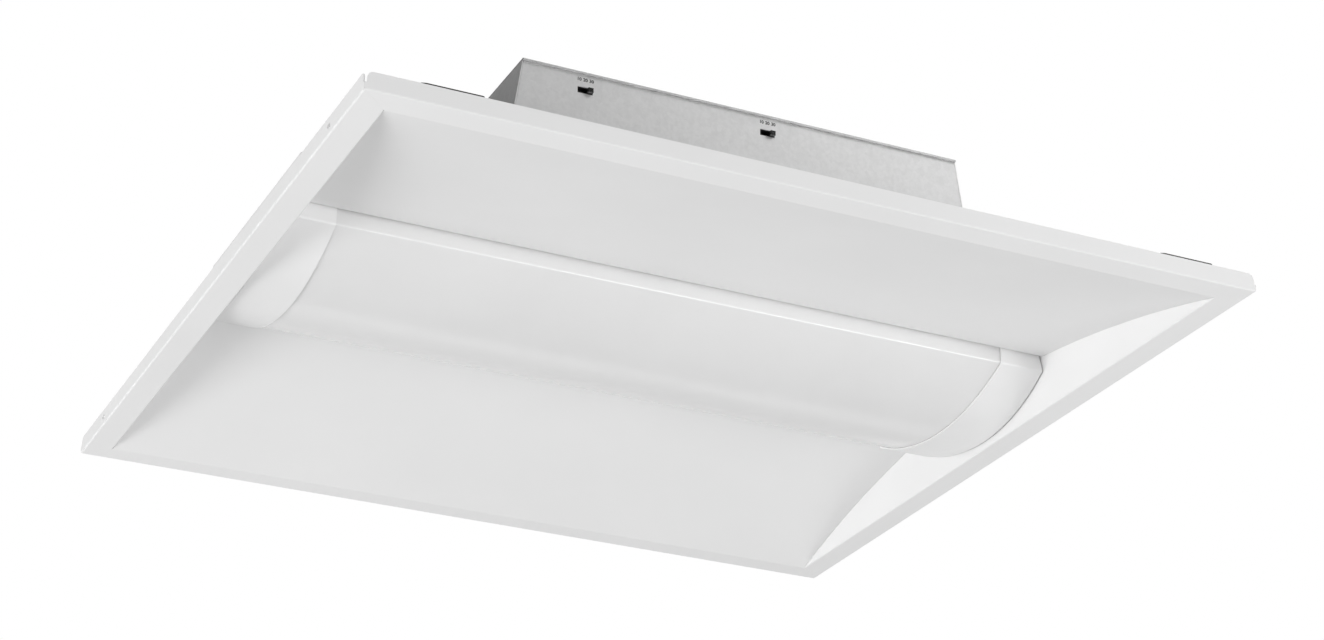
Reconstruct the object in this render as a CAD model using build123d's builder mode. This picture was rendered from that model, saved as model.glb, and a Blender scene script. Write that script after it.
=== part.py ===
from build123d import *
from math import cos, hypot, radians, sin, sqrt, tan
import os

os.makedirs("parts", exist_ok=True)

# A recessed troffer light for a lay-in ceiling, in millimetres.
# X runs along the lens basket, Y across it, +Z up into the ceiling void.
# The origin is the middle of the plane on which the flat border rests.

# ---------------------------------------------------------------- driving dimensions
# Panels: four folded sheets that make the border, the lip and the bowl
panel_length = 603.0
panel_width = 603.0
border = 19.0                # flat border that lies on the ceiling grid
lip_height = 12.0            # turned-up edge round the border
panel_sheet = 0.7            # painted steel
bend_radius = 0.5            # inside radius of the folds
lip_slit = 1.6               # a lip stops this far short of its corner ...
lip_slit_bottom = 5.0        # ... above this height
lip_corner = 4.0             # radius of a lip's top corners
end_tilt = 10.0              # degrees by which an end plate leans inwards
reflector_rise = 35.3        # height of the reflectors' inner edges
reflector_bulge = 3.9        # how far a reflector bows up from straight
trough_width = 175.0         # gap between the reflectors, where the basket hangs
upstand_height = 12.0        # fold at a reflector's inner edge
plate_margin = 6.0           # an end plate stands this far over the reflectors
lip_hole_length = 5.0
lip_hole_width = 2.6
lip_hole_gap = 60.5          # from the corner, along an end lip
ear_height = 26.0            # hanger ears for the ceiling's support wires
ear_gap = 86.5               # from the corner to an ear's middle
ear_width = 20.0
ear_reach = 9.5              # past the fold of the end panel
ear_hole_radius = 2.5
ear_hole_shift = 1.5         # of the hole, from the ear's middle outwards
tab_width = 24.0             # tabs of the end plates, over the reflectors' backs
tab_reach = 12.0
tab_offsets = (112.0, 180.0, 250.0)

# Gaps
seam_gap = 0.15              # clinched seams of the panels
mitre_gap = 0.05             # welded and painted mitres of the border
fit_gap = 0.3                # pieces that only lie against each other
screw_gap = 0.15             # round a screw or rivet
pivot_gap = 0.05             # round a rivet that something turns on
past = 2.0                   # how far a cut runs beyond what it cuts

# Light tray: the channel over the basket that carries the boards
tray_top = 61.0
tray_sheet = 0.8
board_width = 22.0
board_thickness = 1.6
board_corner = 2.0
board_offset = 38.0          # from the middle line to a board's middle
board_end_gap = 15.0         # from the cap's inner edge to the board's end
leds_per_board = 32
led_length = 3.5
led_width = 2.8
led_height = 0.7
led_end_gap = 9.0            # from the board's end to its last LED
board_screw_radius = 1.5
board_screw_length = 6.0
board_screw_shift = 4.0      # from the last LED to the last screw
screws_per_board = 4
connector_length = 14.0      # poke-in wire connectors on the boards
connector_width = 9.0
connector_height = 5.0
connector_chamfer = 1.2
connector_after_led = 8       # LEDs between the middle and a connector

# Lens basket: frosted lens with a moulded cap at each end
basket_width = 173.0
basket_low = 3.8             # lowest line of the caps over the border's plane
basket_corner = 24.6         # height of the caps' long corners
basket_radius_corner = 2.0
basket_top = 46.0
cap_reach = 39.0             # from the end plate's fold to a cap's open edge
cap_wall = 2.0
cap_rim = 1.0                # wall of a cap's mouth, which laps over the lens
cap_end_radius = 1.8         # edge beside the end plate
cap_rib_height = 12.0
cap_rib_offset = 32.0
lens_wall = 2.0
lens_corner = 1.2            # outside radius of its long corners
lens_overlap = 8.0           # how far the lens goes into a cap
clip_gap = 63.5              # from a cap to the nearest spring clip of the basket
clip_width = 12.0
clip_sheet = 0.4
clip_bend = 0.5
clip_height = 9.0
clip_rivet_radius = 1.6
clip_rivet_head = 2.4
clip_rivet_rise = 4.7        # over the reflectors' inner edges
clip_below_rivet = 3.2
clip_nose_drop = 1.0         # from the top of a clip's straight part to the line that presses
clip_tail_drop = 3.0
clip_crown_rise = 1.5

# Driver housing on the back
house_gap = 144.6            # from the panel's end to the end of the housing's top
house_half_width = 177.1
house_top = 119.2
house_lean = 8.0             # degrees by which its ends lean outwards, going down
house_sheet = 0.8
house_foot = 11.0
house_flange = 12.0          # of the leaning ends, behind the front and rear walls
housing_screw_radius = 1.9
housing_screw_length = 5.0
housing_screw_offset = 55.0
lid_sheet = 1.0
lid_lip = 0.8                # fold along the lid's front and rear
lid_tab = 17.0
lid_screw_radius = 1.9
lid_screw_length = 6.0
knockout_radius = 11.1
knockout_drop = 27.2         # from the housing's top
knockout_gap = 66.9          # from the end of the housing's top

# Driver with its two selector switches
driver_length = 160.0
driver_gap = 27.4            # from the left end of the housing's top
driver_width = 42.0
driver_height = 27.0
driver_chamfer = 2.5
driver_base_sheet = 1.0
driver_sheet = 0.8
driver_board_drop = 5.0      # from the case's open top to the board
transformer_length = 24.0
transformer_width = 20.0
transformer_height = 15.0
capacitor_radius = 5.5
capacitor_height = 15.0
capacitor_shifts = (-58.0, -44.0, 40.0)
driver_ear = 9.0
driver_screw_radius = 1.9
driver_screw_length = 4.0
driver_base_corner = 3.0
driver_base_inset = 2.0      # of the base's long edges behind the case's sides
window_width = 10.6
window_height = 4.4
window_drop = 12.0           # from the housing's top to a window's middle
window_shifts = {"output": -64.1, "colour": 65.4}    # from the driver's middle
switch_length = 14.0
switch_height = 7.5
switch_depth = 5.0
switch_floor = 1.2           # plastic left behind the slider
knob_edge = 0.3
knob_groove = 0.35           # width of the ribs' grooves
knob_groove_depth = 0.4
knob_length = 3.4
knob_height = 3.2
knob_reach = 2.8             # beyond the housing's face
switch_pitch = 3.0           # travel from one setting to the next

# Wiring inside the housing
lead_diameter = 2.0
bend_share = 0.45            # of the shorter run beside a bend
lead_spacing = 6.0           # of the ports in the supply connector
lead_exit_run = 22.0         # straight out of the driver, towards the supply connector
lead_entry_run = 26.0        # straight into the supply connector
lead_drop_over = 14.0        # how far before the bushing the leads turn down
lead_clearance = 9.0         # over the tray there
lead_loop = 40.0             # from the driver's left end to the loop's low point
bushing_radius = 5.0
bushing_bore = 3.4
bushing_flange = 1.2
bushing_rim = 2.0
bushing_offset = 63.0
supply_gap = 40.9            # from the right end of the housing's top
supply_y = -38.0
supply_length = 22.0
supply_width = 18.0
supply_height = 14.0
supply_chamfer = 2.0
port_radius = 2.0
ground_screw_radius = 2.0
ground_screw_length = 6.0
ground_gap = 38.9
ground_y = 66.0

# Grid clips that swing out over the ceiling grid
grid_clip_length = 42.8
grid_clip_width = 15.0
grid_clip_sheet = 1.0
grid_clip_gap = 30.8         # from the panel's corner to the clip's further end
grid_clip_setback = 1.5      # behind the lip's face
grid_clip_rise = 0.7         # over the lip's top
bracket_sheet = 1.0
bracket_width = 16.0
grid_rivet_radius = 2.0
grid_rivet_head = 3.6
rivet_head_height = 0.9

# ---------------------------------------------------------------- worked-out sizes
standing = (Align.CENTER, Align.CENTER, Align.MIN)
hanging = (Align.CENTER, Align.CENTER, Align.MAX)
half_length = panel_length / 2
half_width = panel_width / 2
fold_x = half_length - border
fold_y = half_width - border
trough_half = trough_width / 2
upstand_top = reflector_rise + upstand_height
rivet_level = reflector_rise + clip_rivet_rise
lean_slope = tan(radians(end_tilt))

chord_run = fold_y - trough_half
chord = hypot(chord_run, reflector_rise)
bow_radius = (chord**2 / 4 + reflector_bulge**2) / (2 * reflector_bulge)
bow_y = (fold_y + trough_half) / 2 - reflector_rise / chord * (bow_radius - reflector_bulge)
bow_z = reflector_rise / 2 - chord_run / chord * (bow_radius - reflector_bulge)

lip_hole_offset = half_width - lip_hole_gap
ear_offset = half_width - ear_gap

tray_inner = trough_half + panel_sheet + seam_gap
tray_outer = tray_inner + tray_sheet
tray_under = tray_top - tray_sheet
plate_top = tray_top + plate_margin

cap_inner_edge = fold_x - cap_reach
clip_station = cap_inner_edge - clip_gap
clip_offsets = (-clip_station, 0, clip_station)
basket_half = basket_width / 2
basket_sag = basket_corner - basket_low
basket_radius = (basket_half**2 + basket_sag**2) / (2 * basket_sag)
basket_centre = basket_low + basket_radius
lens_inset = cap_rim + seam_gap
lens_half_length = cap_inner_edge + lens_overlap

board_length = 2 * (cap_inner_edge - board_end_gap)
led_pitch = (board_length - 2 * led_end_gap) / (leds_per_board - 1)
connector_x = -connector_after_led * led_pitch
board_under = tray_under - board_thickness
house_half_length = half_length - house_gap
lid_half_width = house_half_width + fit_gap + lid_sheet
knockout_height = house_top - knockout_drop
knockout_offset = house_half_length - knockout_gap
house_inner_y = house_half_width - house_sheet
driver_top = house_top - driver_base_sheet
driver_middle = driver_gap + driver_length / 2 - house_half_length
window_level = house_top - window_drop
window_offsets = {name: driver_middle + shift for name, shift in window_shifts.items()}
supply_x = house_half_length - supply_gap
ground_x = house_half_length - ground_gap
driver_face = house_inner_y - fit_gap - switch_depth
driver_y = -(driver_face - driver_width / 2)
grid_clip_inner = half_length - grid_clip_gap - grid_clip_length
grid_clip_under = lip_height + grid_clip_rise
bracket_top = grid_clip_under - fit_gap
grid_clip_y = half_width - grid_clip_setback - grid_clip_width / 2


def reflector_height(y, above=0.0):
    """Height of the reflector's lower face, or of a layer above it, at a distance y from the middle."""
    return bow_z + sqrt((bow_radius + above) ** 2 - (y - bow_y) ** 2)


def reflector_reach(z, above=0.0):
    """Distance from the middle at which that layer is at height z."""
    return bow_y + sqrt((bow_radius + above) ** 2 - (z - bow_z) ** 2)


def reflector_arc(y_from, y_to, above, side):
    """Arc along that layer on one side of the middle, side being -1 or 1."""
    stations = (y_from, (y_from + y_to) / 2, y_to)
    return ThreePointArc(*[(side * y, reflector_height(y, above)) for y in stations])


def plate_x(z):
    """Where an end plate's inner face is at height z."""
    return fold_x - z * lean_slope


def house_x(z):
    """Half length of the driver housing at height z."""
    return house_half_length + (house_top - z) * tan(radians(house_lean))


def basket_floor(y, inset):
    """Height of the basket's bowed floor, inset from the caps' outer face."""
    return basket_centre - sqrt((basket_radius - inset) ** 2 - y**2)


def corner(sketch, *points):
    """The vertices of a sketch that lie nearest to some points."""
    return [sketch.vertices().sort_by_distance(point)[0] for point in points]


def beyond_plate(gap, y_from, y_to, z_top):
    """The space beyond both end plates' inner faces, less a gap, to trim what ends there."""
    with BuildPart() as space:
        with BuildSketch(Plane.XZ.offset(-y_to)):
            for end in (-1, 1):
                Polygon(
                    (end * (plate_x(-2) - gap), -2),
                    (end * (half_length + 5), -2),
                    (end * (half_length + 5), z_top),
                    (end * (plate_x(z_top) - gap), z_top),
                    align=None,
                )
        extrude(amount=y_to - y_from)
    return space.part


# ---------------------------------------------------------------- side panels
# Lip, border, bowed reflector and upstand are one folded sheet, drawn as its section.
back_fold_y = reflector_reach(panel_sheet, panel_sheet)
upstand_back = trough_half + panel_sheet

with BuildPart() as side_panel_front:
    with BuildSketch(Plane.YZ) as side_section:
        with BuildLine():
            Polyline((-half_width, lip_height), (-half_width, 0), (-fold_y, 0))
            reflector_arc(fold_y, trough_half, 0, -1)
            Polyline(
                (-trough_half, reflector_rise),
                (-trough_half, upstand_top),
                (-upstand_back, upstand_top),
                (-upstand_back, reflector_height(upstand_back, panel_sheet)),
            )
            reflector_arc(upstand_back, back_fold_y, panel_sheet, -1)
            Polyline(
                (-back_fold_y, panel_sheet),
                (panel_sheet - half_width, panel_sheet),
                (panel_sheet - half_width, lip_height),
                (-half_width, lip_height),
            )
        make_face()
        outer_folds = corner(side_section, (-half_width, 0), (-trough_half, reflector_rise))
        fillet(outer_folds, bend_radius + panel_sheet)
        fillet(corner(side_section, (panel_sheet - half_width, panel_sheet)), bend_radius)
    extrude(amount=half_length, both=True)
    # mitres at the four corners of the border
    with BuildSketch(Plane.XY.offset(-1)):
        mitre = half_length - mitre_gap
        inner = fold_x - mitre_gap
        Polygon(
            (-mitre, -half_width), (mitre, -half_width), (inner, -fold_y),
            (inner, 0), (-inner, 0), (-inner, -fold_y), align=None,
        )
    extrude(amount=upstand_top + past, mode=Mode.INTERSECT)
    add(beyond_plate(seam_gap, -fold_y, 0, upstand_top + past), mode=Mode.SUBTRACT)
    # slits between the lips, above the closed foot of each corner
    with BuildSketch(Plane.XZ.offset(half_width + 1)):
        for end in (-1, 1):
            with Locations((end * half_length, (lip_slit_bottom + lip_height + 1) / 2)):
                Rectangle(2 * lip_slit, lip_height + 1 - lip_slit_bottom)
    extrude(amount=-(panel_sheet + past), mode=Mode.SUBTRACT)
    lip_ends = edges().filter_by(Axis.Y).filter_by_position(Axis.Z, lip_height - 0.01, lip_height + 0.01)
    fillet(lip_ends, lip_corner)
    # holes for the spring clips' rivets
    with BuildSketch(Plane.XZ.offset(trough_half - 1)):
        with Locations(*[(x, rivet_level) for x in clip_offsets]):
            Circle(clip_rivet_radius + screw_gap)
    extrude(amount=panel_sheet + past, mode=Mode.SUBTRACT)

with BuildPart() as side_panel_rear:
    mirror(side_panel_front.part, about=Plane.XZ)

# ---------------------------------------------------------------- end panels
# Lip, border and steep plate are one folded sheet. The plate's top follows the bow of the
# reflectors, stands up to the tray in the middle, and carries lap tabs and hanger ears.
plate_run = panel_sheet / cos(radians(end_tilt))
plate_step = tray_outer + 2 * bend_radius + past
back_fold_x = plate_x(panel_sheet) + plate_run
ear_inner = plate_x(ear_height) + plate_run / 2
ear_hole_x = (ear_inner + fold_x + ear_reach) / 2 + ear_hole_shift

with BuildPart() as end_panel_right:
    with BuildSketch(Plane.XZ) as end_section:
        with BuildLine():
            Polyline(
                (half_length, lip_height), (half_length, 0), (fold_x, 0),
                (plate_x(plate_top), plate_top), (plate_x(plate_top) + plate_run, plate_top),
                (back_fold_x, panel_sheet), (half_length - panel_sheet, panel_sheet),
                (half_length - panel_sheet, lip_height), (half_length, lip_height),
            )
        make_face()
        fillet(corner(end_section, (half_length, 0), (fold_x, 0)), bend_radius + panel_sheet)
        inside = corner(end_section, (half_length - panel_sheet, panel_sheet), (back_fold_x, panel_sheet))
        fillet(inside, bend_radius)
    extrude(amount=half_width, both=True)
    with BuildSketch(Plane.XY.offset(-1)):
        plate_zone = fold_x - plate_top
        Polygon(
            (half_length, -half_width), (half_length, half_width), (fold_x, fold_y),
            (plate_zone, fold_y), (plate_zone, -fold_y), (fold_x, -fold_y), align=None,
        )
    extrude(amount=plate_top + past, mode=Mode.INTERSECT)
    # the plate's outline, left and right of the tray
    with BuildSketch(Plane.YZ.offset(fold_x - plate_top)):
        for side in (-1, 1):
            over = panel_sheet + plate_margin
            with BuildLine():
                Polyline(
                    (side * plate_step, reflector_height(plate_step, over)),
                    (side * plate_step, plate_top + 1),
                    (side * (half_width + 1), plate_top + 1),
                    (side * (half_width + 1), reflector_height(fold_y, over)),
                    (side * fold_y, reflector_height(fold_y, over)),
                )
                reflector_arc(fold_y, plate_step, over, side)
            make_face()
            with Locations((side * ear_offset, ear_height / 2)):
                Rectangle(ear_width, ear_height, mode=Mode.SUBTRACT)
    extrude(amount=plate_top + past + 1, mode=Mode.SUBTRACT)
    # hanger ears, folded out flat from the plate
    with BuildSketch(Plane.XY.offset(ear_height - panel_sheet)):
        for side in (-1, 1):
            with Locations(((ear_inner + fold_x + ear_reach) / 2, side * ear_offset)):
                Rectangle(fold_x + ear_reach - ear_inner, ear_width)
            with Locations((ear_hole_x, side * ear_offset)):
                Circle(ear_hole_radius, mode=Mode.SUBTRACT)
    extrude(amount=panel_sheet)
    # tabs that lap over the reflectors' backs
    for side in (-1, 1):
        for tab_y in tab_offsets:
            tab_low = panel_sheet + fit_gap
            tab_end = plate_x(reflector_height(tab_y, tab_low)) + plate_run / 2
            with BuildSketch(Plane.YZ.offset(tab_end - tab_reach)):
                with BuildLine():
                    near, far = tab_y - tab_width / 2, tab_y + tab_width / 2
                    lower = reflector_arc(near, far, tab_low, side)
                    upper = reflector_arc(near, far, tab_low + panel_sheet, side)
                    Line(lower @ 0, upper @ 0)
                    Line(lower @ 1, upper @ 1)
                make_face()
            extrude(amount=tab_reach)
    # slits and holes of the lip
    with BuildSketch(Plane.YZ.offset(half_length - panel_sheet - 1)):
        for side in (-1, 1):
            with Locations((side * half_width, (lip_slit_bottom + lip_height + 1) / 2)):
                Rectangle(2 * lip_slit, lip_height + 1 - lip_slit_bottom)
            with Locations((side * lip_hole_offset, lip_height / 2)):
                SlotOverall(lip_hole_length, lip_hole_width)
    extrude(amount=panel_sheet + past, mode=Mode.SUBTRACT)
    lip_ends = edges().filter_by(Axis.X).filter_by_position(Axis.Z, lip_height - 0.01, lip_height + 0.01)
    fillet(lip_ends, lip_corner)

with BuildPart() as end_panel_left:
    mirror(end_panel_right.part, about=Plane.YZ)

# ---------------------------------------------------------------- light tray
tray_foot = reflector_height(tray_inner, panel_sheet) + fit_gap
board_screw_pitch = (board_length - 2 * (led_end_gap + board_screw_shift)) / (screws_per_board - 1)
housing_screw_x = house_x(tray_top) - house_sheet - house_foot / 2

with BuildPart() as light_tray:
    with BuildSketch(Plane.YZ):
        with Locations((0, (tray_foot + tray_top) / 2)):
            Rectangle(2 * tray_outer, tray_top - tray_foot)
        with Locations((0, (tray_foot + tray_under) / 2 - 1)):
            Rectangle(2 * tray_inner, tray_under - tray_foot + 2, mode=Mode.SUBTRACT)
    extrude(amount=half_length, both=True)
    fillet(edges().filter_by(Axis.X).group_by(Axis.Z)[-1], bend_radius + tray_sheet)
    add(beyond_plate(seam_gap, -half_width, half_width, plate_top), mode=Mode.SUBTRACT)
    with BuildSketch(Plane.XY.offset(tray_under - 1)):
        for side in (-1, 1):
            with Locations((0, side * board_offset)):
                with GridLocations(board_screw_pitch, 1, screws_per_board, 1):
                    Circle(board_screw_radius + screw_gap)
        with GridLocations(2 * housing_screw_x, 2 * housing_screw_offset, 2, 2):
            Circle(housing_screw_radius + screw_gap)
        with Locations((connector_x, -bushing_offset)):
            Circle(bushing_radius + screw_gap)
        with Locations((ground_x, ground_y)):
            Circle(ground_screw_radius + screw_gap)
    extrude(amount=tray_sheet + past, mode=Mode.SUBTRACT)
    with BuildSketch(Plane.XZ.offset(-half_width)):
        with Locations(*[(x, rivet_level) for x in clip_offsets]):
            Circle(clip_rivet_radius + screw_gap)
    extrude(amount=panel_width, mode=Mode.SUBTRACT)


# ---------------------------------------------------------------- LED boards
def led_board(side):
    """Board on the tray's underside, with its screw holes."""
    with BuildPart() as board:
        with BuildSketch(Plane.XY.offset(board_under)):
            with Locations((0, side * board_offset)):
                RectangleRounded(board_length, board_width, board_corner)
                with GridLocations(board_screw_pitch, 1, screws_per_board, 1):
                    Circle(board_screw_radius + screw_gap, mode=Mode.SUBTRACT)
        extrude(amount=board_thickness)
    return board.part


def led_row(side):
    """Row of LED packages under one board, between its screws."""
    with BuildPart() as row:
        with BuildSketch(Plane.XY.offset(board_under - led_height)):
            with Locations((0, side * (board_offset + board_width / 5))):
                with GridLocations(led_pitch, 1, leds_per_board, 1):
                    Rectangle(led_width, led_length)
        extrude(amount=led_height)
    return row.part


def pan_screws(places, head_under, radius, length, up=1):
    """Screws at some places, each with a slotted pan head that bears at one height."""
    head_radius = 2 * radius
    head_height = 1.2 * radius
    with BuildPart() as screws:
        with Locations(*[(x, y, head_under) for x, y in places]):
            shank_side = Align.MAX if up > 0 else Align.MIN
            head_side = Align.MIN if up > 0 else Align.MAX
            Cylinder(radius, length, align=(Align.CENTER, Align.CENTER, shank_side))
            Cylinder(head_radius, head_height, align=(Align.CENTER, Align.CENTER, head_side))
        rims = edges().filter_by(GeomType.CIRCLE).group_by(Axis.Z)[-1 if up > 0 else 0]
        chamfer(rims, head_height / 2)
        with Locations(*[(x, y, head_under + up * head_height) for x, y in places]):
            Box(2 * head_radius, radius / 3, head_height, mode=Mode.SUBTRACT)
    return screws.part


led_board_front = led_board(-1)
led_board_rear = led_board(1)
led_row_front = led_row(-1)
led_row_rear = led_row(1)

board_screw_places = [
    ((index - (screws_per_board - 1) / 2) * board_screw_pitch, side * board_offset)
    for index in range(screws_per_board)
    for side in (-1, 1)
]
board_screws = pan_screws(board_screw_places, board_under, board_screw_radius, board_screw_length, up=-1)

with BuildPart() as board_connectors:
    for side in (-1, 1):
        with Locations((connector_x, side * board_offset, board_under)):
            Box(connector_width, connector_length, connector_height,
                align=hanging)
    chamfer(edges().filter_by(Axis.Y).group_by(Axis.Z)[0], connector_chamfer)


# ---------------------------------------------------------------- lens basket
def basket_block(inset, x_from, end_gap, top, x_to=half_length):
    """Solid of the basket's section from a distance x_from to the right end plate, or to x_to."""
    half = basket_half - inset
    with BuildPart() as block:
        with BuildSketch(Plane.YZ.offset(x_from)) as section:
            with BuildLine():
                Polyline((-half, basket_floor(half, inset)), (-half, top), (half, top),
                         (half, basket_floor(half, inset)))
                ThreePointArc((half, basket_floor(half, inset)), (0, basket_floor(0, inset)),
                              (-half, basket_floor(half, inset)))
            make_face()
            long_corners = [(side * half, basket_floor(half, inset)) for side in (-1, 1)]
            fillet(corner(section, *long_corners), max(basket_radius_corner - inset, 0.3))
        extrude(amount=x_to - x_from)
        add(beyond_plate(end_gap, -half_width, half_width, plate_top), mode=Mode.SUBTRACT)
    return block.part


with BuildPart() as end_cap_right:
    add(basket_block(0, cap_inner_edge, fit_gap, basket_top))
    end_rim = faces().sort_by(Axis.X)[-1].edges()
    fillet(end_rim - end_rim.group_by(Axis.Z)[-1], cap_end_radius)
    add(basket_block(cap_wall, cap_inner_edge - 1, fit_gap + cap_wall, basket_top + 5), mode=Mode.SUBTRACT)
    # thinner mouth, inside which the lens lies almost flush with the cap
    mouth_end = lens_half_length + fit_gap
    add(basket_block(cap_rim, cap_inner_edge - 1, fit_gap, basket_top + 5, mouth_end), mode=Mode.SUBTRACT)
    rib_start = mouth_end + fit_gap
    for side in (-1, 1):
        rib_foot = basket_floor(cap_rib_offset, cap_wall / 2)
        rib_end = plate_x(rib_foot + cap_rib_height) - fit_gap - cap_wall / 2
        with Locations(((rib_start + rib_end) / 2, side * cap_rib_offset, rib_foot)):
            Box(rib_end - rib_start, cap_wall * 0.7, cap_rib_height,
                align=standing)

with BuildPart() as end_cap_left:
    mirror(end_cap_right.part, about=Plane.YZ)

with BuildPart() as diffuser_lens:
    with BuildSketch(Plane.YZ) as lens_section:
        for inset, mode in ((lens_inset, Mode.ADD), (lens_inset + lens_wall, Mode.SUBTRACT)):
            half = basket_half - inset
            top = basket_top if mode == Mode.ADD else basket_top + 1
            with BuildLine():
                Polyline((-half, basket_floor(half, inset)), (-half, top), (half, top),
                         (half, basket_floor(half, inset)))
                ThreePointArc((half, basket_floor(half, inset)), (0, basket_floor(0, inset)),
                              (-half, basket_floor(half, inset)))
            make_face(mode=mode)
        outside = [(side * (basket_half - lens_inset), basket_floor(basket_half - lens_inset, lens_inset))
                   for side in (-1, 1)]
        fillet(corner(lens_section, *outside), lens_corner)
    extrude(amount=lens_half_length, both=True)

# Spring clips on the upstands press on the lens's upright sides.
lens_side = basket_half - lens_inset
leaf_back = trough_half - seam_gap
leaf_nose = lens_side + fit_gap
clip_foot = rivet_level - clip_below_rivet
clip_shoulder = clip_foot + clip_height


def basket_clips(side):
    """Three leaf springs along one upstand."""
    base = leaf_back - clip_sheet / 2
    nose = leaf_nose + clip_sheet / 2
    crown = (base + nose) / 2
    with BuildPart() as clips:
        for x in clip_offsets:
            with BuildSketch(Plane.YZ.offset(x - clip_width / 2)):
                with BuildLine():
                    FilletPolyline(
                        (side * base, clip_foot),
                        (side * base, clip_shoulder),
                        (side * crown, clip_shoulder + clip_crown_rise),
                        (side * nose, clip_shoulder - clip_nose_drop),
                        (side * crown, clip_shoulder - clip_tail_drop),
                        radius=clip_bend,
                    )
                trace(line_width=clip_sheet)
            extrude(amount=clip_width)
            with BuildSketch(Plane.XZ.offset(-side * leaf_back - 1 if side > 0 else leaf_back - 1)):
                with Locations((x, rivet_level)):
                    Circle(clip_rivet_radius + screw_gap)
            extrude(amount=2, mode=Mode.SUBTRACT)
    return clips.part


basket_clips_front = basket_clips(-1)
basket_clips_rear = basket_clips(1)

with BuildPart() as basket_clip_rivets:
    for side in (-1, 1):
        toward_middle = leaf_back - clip_sheet - seam_gap
        away = tray_outer + seam_gap
        for x in clip_offsets:
            with Locations(Location((x, side * toward_middle, rivet_level), (side * 90, 0, 0))):
                Cylinder(clip_rivet_head, rivet_head_height, align=standing)
            with Locations(Location((x, side * toward_middle, rivet_level), (-side * 90, 0, 0))):
                Cylinder(clip_rivet_radius, away - toward_middle, align=standing)
            with Locations(Location((x, side * away, rivet_level), (-side * 90, 0, 0))):
                Cylinder(clip_rivet_radius * 1.4, rivet_head_height, align=standing)


# ---------------------------------------------------------------- driver housing
# Four folded sheets stand on the reflectors and the tray, under one lid.
lap = panel_sheet + fit_gap
wall_run = house_sheet / cos(radians(house_lean))
end_reach = house_inner_y - seam_gap
lid_screw_places = [
    (x_side * (house_half_length - lid_tab / 2), y_side * (end_reach - lid_tab / 2))
    for x_side in (-1, 1)
    for y_side in (-1, 1)
]
housing_screw_places = [
    (x_side * housing_screw_x, y_side * housing_screw_offset) for x_side in (-1, 1) for y_side in (-1, 1)
]

# a long wall between the ends, with a foot along the reflector's back
with BuildPart() as housing_wall:
    wall_inset = wall_run + seam_gap
    with BuildSketch(Plane.XZ.offset(house_inner_y)):
        Polygon(
            (wall_inset - house_x(0), 0), (house_x(0) - wall_inset, 0),
            (house_x(house_top) - wall_inset, house_top), (wall_inset - house_x(house_top), house_top),
            align=None,
        )
    extrude(amount=house_sheet)
    foot_length = house_x(reflector_height(house_half_width, lap)) - 2 * wall_inset
    with BuildSketch(Plane.YZ):
        with BuildLine():
            lower = reflector_arc(house_inner_y, house_half_width + house_foot, lap, -1)
            upper = reflector_arc(house_inner_y, house_half_width + house_foot, lap + house_sheet, -1)
            Line(lower @ 0, upper @ 0)
            Line(lower @ 1, upper @ 1)
        make_face()
    extrude(amount=foot_length, both=True)
    with BuildSketch(Plane.YZ):
        with BuildLine():
            edge = reflector_arc(house_inner_y - 1, house_half_width + house_foot + 1, lap, -1)
            Polyline(edge @ 0, (1 - house_inner_y, -1), (-house_half_width - house_foot - 1, -1), edge @ 1)
        make_face()
    extrude(amount=half_length, both=True, mode=Mode.SUBTRACT)

# front wall: a window for each selector switch
with BuildPart() as housing_front:
    add(housing_wall.part)
    with BuildSketch(Plane.XZ.offset(house_inner_y - 1)):
        with Locations(*[(x, window_level) for x in window_offsets.values()]):
            Rectangle(window_width, window_height)
    extrude(amount=house_sheet + past, mode=Mode.SUBTRACT)

# rear wall: two knockouts for conduit fittings
with BuildPart() as housing_rear:
    mirror(housing_wall.part, about=Plane.XZ)
    with BuildSketch(Plane.XZ.offset(-house_half_width - 1)):
        with Locations((-knockout_offset, knockout_height), (knockout_offset, knockout_height)):
            Circle(knockout_radius)
    extrude(amount=house_sheet + past, mode=Mode.SUBTRACT)

# leaning end, with inward flanges, two tabs under the lid and a foot on the tray
with BuildPart() as housing_end_right:
    with BuildSketch(Plane.XZ):
        Polygon(
            (house_x(0) - wall_run, 0), (house_x(0), 0),
            (house_x(house_top), house_top), (house_x(house_top) - wall_run, house_top), align=None,
        )
    extrude(amount=house_half_width, both=True)
    for side in (-1, 1):
        with BuildSketch(Plane.XZ.offset(-side * (end_reach - (house_sheet if side > 0 else 0)))):
            Polygon(
                (house_x(0) - house_flange, 0), (house_x(0), 0),
                (house_x(house_top), house_top), (house_x(house_top) - house_flange, house_top), align=None,
            )
        extrude(amount=-house_sheet)
    notch = tray_outer + fit_gap
    with BuildSketch(Plane.YZ):
        with BuildLine():
            Polyline((-notch, reflector_height(notch, lap)), (-notch, tray_top), (notch, tray_top),
                     (notch, reflector_height(notch, lap)))
            reflector_arc(notch, half_width - border, lap, 1)
            Polyline((fold_y, reflector_height(fold_y, lap)), (fold_y, -1), (-fold_y, -1),
                     (-fold_y, reflector_height(fold_y, lap)))
            reflector_arc(half_width - border, notch, lap, -1)
        make_face()
    extrude(amount=half_length, mode=Mode.SUBTRACT)
    with Locations((house_x(tray_top) - wall_run / 2, 0, tray_top)):
        Box(house_foot, 2 * (housing_screw_offset + 8), house_sheet,
            align=(Align.MAX, Align.CENTER, Align.MIN))
    with Locations(*[(x, y, house_top) for x, y in lid_screw_places if x > 0]):
        Box(lid_tab, lid_tab, house_sheet, align=hanging)
        Hole(lid_screw_radius + screw_gap, depth=house_sheet + past)
    with Locations(*[(x, y, tray_top + house_sheet) for x, y in housing_screw_places if x > 0]):
        Hole(housing_screw_radius + screw_gap, depth=house_sheet + past)

with BuildPart() as housing_end_left:
    mirror(housing_end_right.part, about=Plane.YZ)

foot_top = tray_top + house_sheet
housing_screws = pan_screws(housing_screw_places, foot_top, housing_screw_radius, housing_screw_length)

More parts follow.
